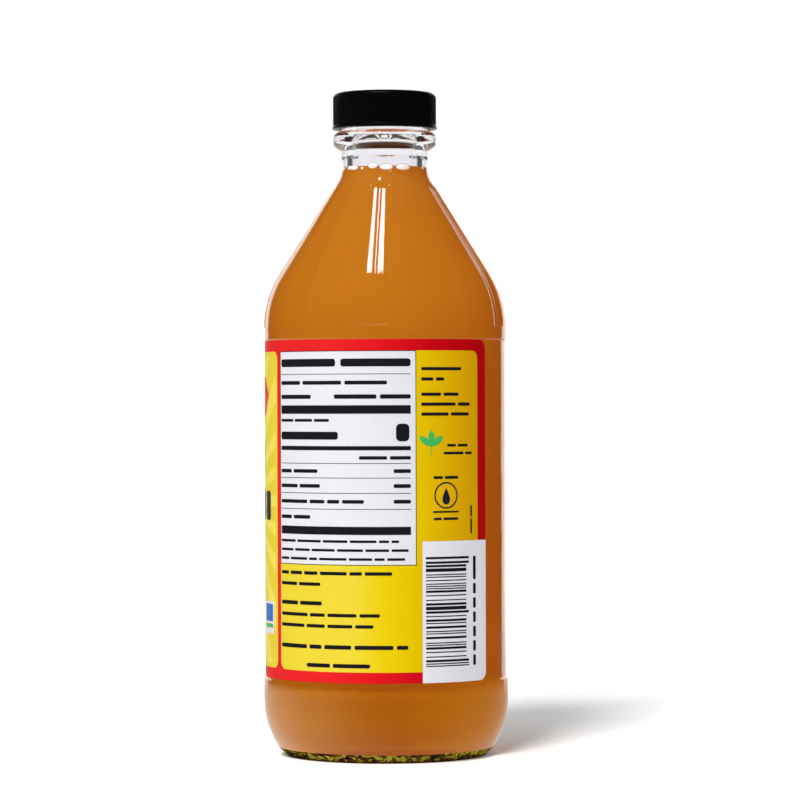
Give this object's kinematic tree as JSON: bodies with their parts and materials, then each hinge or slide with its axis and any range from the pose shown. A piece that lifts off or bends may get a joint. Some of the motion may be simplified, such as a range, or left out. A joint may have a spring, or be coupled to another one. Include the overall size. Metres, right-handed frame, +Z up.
{
  "type": "vinegar bottle",
  "caption": "Round clear glass bottle filled with cloudy amber vinegar, with shallow flutes down its sloping shoulder, a knurled black screw cap and a wraparound label.",
  "frame": {"origin": "centre of the bottle at the floor", "axes": "+Z up along the bottle's axis, -Y towards the viewer of the picture, who sees the label's information panel, +X to that viewer's right"},
  "size_m": [0.0708, 0.0708, 0.192],
  "materials": {
    "clear_glass": "clear smooth container glass",
    "cloudy_vinegar": "cloudy amber liquid, nearly opaque",
    "black_plastic": "black moulded plastic with fine vertical knurling",
    "label_paper": "varnished paper, yellow panels in red borders"
  },
  "bodies": {
    "root": {"bottle_glass": "clear_glass", "vinegar": "cloudy_vinegar", "screw_cap": "black_plastic", "label": "label_paper"}
  },
  "joints": []
}
